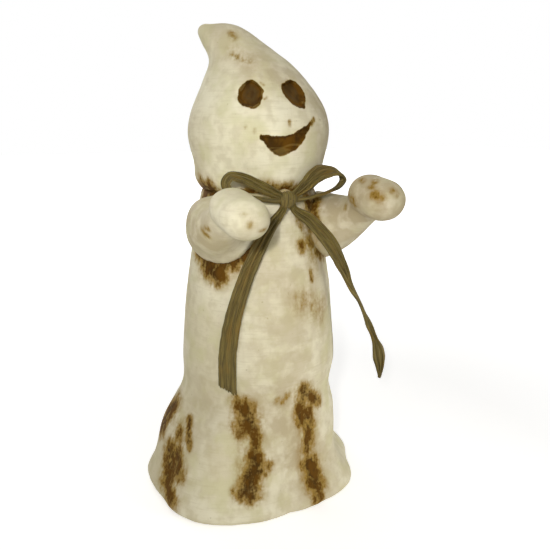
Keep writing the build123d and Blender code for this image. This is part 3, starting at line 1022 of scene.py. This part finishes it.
leftTailPiece = {
    "name": "raffiaLeftTail",
    "node": "left_tail",
    "body": "left_tail",
    "seed": 17.0,
    "ragged": 1.5,
    "slant": 1.0,
    "tip": 12.0,  # length of the pointed end
    "stations": [
        ((2.0, -38.2, 171.4), (0.0, -1.0, 0.0), 3.2),
        ((2.8, -38.3, 168.6), (0.1, -1.0, 0.0), 3.8),
        ((11.8, -40.0, 161.4), (0.0, -1.0, 0.2), 6.8),
        ((22.4, -41.2, 150.2), (-0.1, -1.0, 0.2), 8.0),
        ((31.8, -43.0, 134.2), (0.2, -1.0, 0.1), 7.0),
        ((36.0, -44.2, 124.0), (0.6, -0.8, 0.1), 4.6),
        ((41.0, -45.4, 115.0), (0.9, -0.5, 0.0), 4.2),
        ((44.2, -46.2, 108.0), (0.9, -0.6, 0.0), 3.2),
        ((47.4, -47.2, 101.0), (0.5, -0.9, 0.0), 4.8),
        ((50.4, -48.2, 94.0), (0.3, -1.0, 0.0), 3.8),
        ((53.2, -49.6, 84.6), (0.0, -1.0, 0.1), 8.0),
        ((54.0, -50.6, 77.0), (-0.1, -1.0, 0.1), 8.0),
        ((53.6, -51.4, 68.8), (-0.1, -1.0, 0.1), 6.0),
    ],
}

knotPiece = {
    "name": "raffiaKnot",
    "node": "bow_knot",
    "middle": (-0.6, -38.3, 172.4),
    "halfWidth": 4.4,
    "halfDepth": 3.5,
    "halfLength": 4.3,
    "folds": 4,
    "foldDepth": 0.16,
}

for piece in (rightLoopPiece, leftLoopPiece, rightTailPiece, leftTailPiece):
    raffiaStrip(piece)
raffiaKnot(knotPiece)
print("raffia bow made")


# Studio

studio = {
    "floor": "#f6f5f2",
    "floorSize": 8000.0,
    "backdrop": 1.0,
    "ambient": 0.36,
    "glow": 0.44,  # added to the floor near the figure, for the camera alone
    "glowReach": (200.0, 700.0),  # where it starts to rise and is full
    # lamps: place, what it looks at, size, watts, degrees of spread
    "lamps": {
        "keyLamp": ((-310, -495, 340), (0, 0, 140), 36.0, 1.36, 180.0),
        "faceLamp": ((-300, -480, 310), (-14, -32, 182), 36.0, 0.018, 26.0),
        "sideLamp": ((300, -430, 100), (42, -10, 34), 150.0, 0.055, 40.0),
        "topLamp": ((-60, 80, 720), (0, 0, 120), 500.0, 0.4, 180.0),
        "backLamp": ((-120, 560, 330), (0, 0, 130), 300.0, 0.55, 180.0),
    },
}


def softLamp(name, place, aim, size, watts, spread):
    data = bpy.data.lights.new(name, "AREA")
    data.shape = "DISK"
    data.size = size * mm
    data.energy = watts
    data.spread = math.radians(spread)
    lamp = bpy.data.objects.new(name, data)
    scene.collection.objects.link(lamp)
    lamp.location = Vector(place) * mm
    way = Vector(aim) * mm - lamp.location
    lamp.rotation_euler = way.to_track_quat("-Z", "Y").to_euler()


def seenRays(tree):
    # one for rays that show a surface to the camera, straight, mirrored or through glass
    rays = addNode(tree, "ShaderNodeLightPath").node.outputs
    seen = addNode(tree, "ShaderNodeMath", {
        0: rays["Is Camera Ray"], 1: rays["Is Glossy Ray"]}, operation="MAXIMUM")
    return addNode(tree, "ShaderNodeMath", {
        0: seen, 1: rays["Is Transmission Ray"]}, operation="MAXIMUM")


for name, values in studio["lamps"].items():
    softLamp(name, *values)

world = bpy.data.worlds.new("paleStudio")
scene.world = world
world.use_nodes = True
worldTree = world.node_tree
strength = addNode(worldTree, "ShaderNodeMix", {
    0: seenRays(worldTree), 2: studio["ambient"], 3: studio["backdrop"]})
sky = worldTree.nodes["Background"]
sky.inputs["Color"].default_value = (1, 1, 1, 1)
worldTree.links.new(strength, sky.inputs["Strength"])

# pale matte board that goes over into the backdrop, with a soft shadow near the figure
bpy.ops.mesh.primitive_plane_add(size=studio["floorSize"] * mm)
floor = bpy.context.object
floor.name = "studioFloor"
floorMaterial, floorTree, floorShader = newMaterial("paleFloor")
floorShader.inputs["Base Color"].default_value = hexColour(studio["floor"])
floorShader.inputs["Roughness"].default_value = 0.9
floorShader.inputs["Specular IOR Level"].default_value = 0.1
floorSpace = addNode(floorTree, "ShaderNodeTexCoord", out="Object")
away = addNode(floorTree, "ShaderNodeVectorMath", {0: floorSpace}, "Value", operation="LENGTH")
glowFrom, glowTo = studio["glowReach"]
far = addNode(floorTree, "ShaderNodeMapRange", {
    "Value": away, "From Min": glowFrom * mm, "From Max": glowTo * mm,
    "To Min": studio["glow"], "To Max": 1.0})
glow = addNode(floorTree, "ShaderNodeMath", {0: far, 1: seenRays(floorTree)}, operation="MULTIPLY")
floorShader.inputs["Emission Color"].default_value = (1, 1, 1, 1)
floorTree.links.new(glow, floorShader.inputs["Emission Strength"])
floor.data.materials.append(floorMaterial)

scene.view_settings.view_transform = "Standard"
print("studio made")
